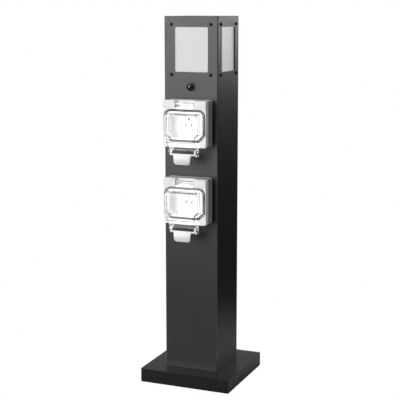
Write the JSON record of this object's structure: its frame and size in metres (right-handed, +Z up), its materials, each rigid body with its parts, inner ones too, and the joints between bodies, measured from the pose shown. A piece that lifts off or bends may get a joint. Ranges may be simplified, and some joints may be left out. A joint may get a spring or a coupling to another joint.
{
  "type": "outdoor power post",
  "caption": "Square outdoor power post with a lantern head, dusk sensor, and weatherproof sockets under clear hinged covers, on a square bolted plinth.",
  "frame": {"origin": "centre of the floor bolt pattern, on the floor on the column's axis", "axes": "+Z up the column, -Y the front with the sockets, +X to the right when facing the front"},
  "size_m": [0.195, 0.2149, 0.75],
  "materials": {
    "post_paint": "fine-texture anthracite powder coat",
    "zinc_plate": "zinc plated",
    "black_screw": "black oxide pan head",
    "black_rubber": "moulded",
    "opal_acrylic": "satin opal",
    "white_body": "satin",
    "holder_plastic": "satin",
    "bulb_cap_metal": "bright",
    "sensor_gloss": "polished black",
    "white_plastic": "satin white, UV stable",
    "grey_plastic": "satin",
    "clear_polycarbonate": "clear",
    "seal_rubber": "foamed",
    "stainless": "bright",
    "white_screw": "white heads",
    "contact_brass": "bright"
  },
  "bodies": {
    "post": {"base_cover": "post_paint", "base_cover_screws": "black_screw", "base_cover_tabs": "zinc_plate", "base_plate": "zinc_plate", "bulb_body": "white_body", "bulb_cap": "bulb_cap_metal", "bulb_globe": "opal_acrylic", "diffuser_back": "opal_acrylic", "diffuser_front": "opal_acrylic", "diffuser_left": "opal_acrylic", "diffuser_right": "opal_acrylic", "earth_nuts": "zinc_plate", "earth_stud": "zinc_plate", "entry_grommet": "black_rubber", "foot_weld": "post_paint", "lamp_holder": "holder_plastic", "lamp_holder_screws": "zinc_plate", "lamp_shelf": "zinc_plate", "lower_box": "white_plastic", "lower_box_gasket": "seal_rubber", "lower_box_screws": "stainless", "lower_cover_seal": "seal_rubber", "lower_frame": "white_plastic", "lower_frame_screws": "white_screw", "lower_hinge_pin": "stainless", "lower_receptacle_body": "grey_plastic", "lower_receptacle_contacts": "contact_brass", "lower_receptacle_face": "white_plastic", "lower_terminal_screws": "stainless", "lower_yoke": "stainless", "lower_yoke_screws": "stainless", "post_tube": "post_paint", "sensor_body": "holder_plastic", "sensor_gasket": "black_rubber", "sensor_lens": "sensor_gloss", "sensor_nut": "zinc_plate", "top_plate": "post_paint", "upper_box": "white_plastic", "upper_box_gasket": "seal_rubber", "upper_box_screws": "stainless", "upper_cover_seal": "seal_rubber", "upper_frame": "white_plastic", "upper_frame_screws": "white_screw", "upper_hinge_pin": "stainless", "upper_receptacle_body": "grey_plastic", "upper_receptacle_contacts": "contact_brass", "upper_receptacle_face": "white_plastic", "upper_terminal_screws": "stainless", "upper_yoke": "stainless", "upper_yoke_screws": "stainless", "window_gaskets": "black_rubber", "window_nuts": "zinc_plate", "window_screws": "black_screw"},
    "upper_cover": {"upper_cover": "clear_polycarbonate", "upper_latch_pins": "stainless"},
    "upper_latch": {"upper_latch": "white_plastic"},
    "lower_cover": {"lower_cover": "clear_polycarbonate", "lower_latch_pins": "stainless"},
    "lower_latch": {"lower_latch": "white_plastic"}
  },
  "joints": [
    {"name": "upper_cover_hinge", "type": "hinge", "parent": "post", "child": "upper_cover", "pos_m": [0, -0.0875, 0.58], "axis": [-1, 0, 0], "range_deg": [0, 100]},
    {"name": "upper_latch_pivot", "type": "hinge", "parent": "upper_cover", "child": "upper_latch", "pos_m": [0, -0.095, 0.4865], "axis": [-1, 0, 0], "range_deg": [0, 35]},
    {"name": "lower_cover_hinge", "type": "hinge", "parent": "post", "child": "lower_cover", "pos_m": [0, -0.0875, 0.425], "axis": [-1, 0, 0], "range_deg": [0, 100]},
    {"name": "lower_latch_pivot", "type": "hinge", "parent": "lower_cover", "child": "lower_latch", "pos_m": [0, -0.095, 0.3315], "axis": [-1, 0, 0], "range_deg": [0, 35]}
  ]
}
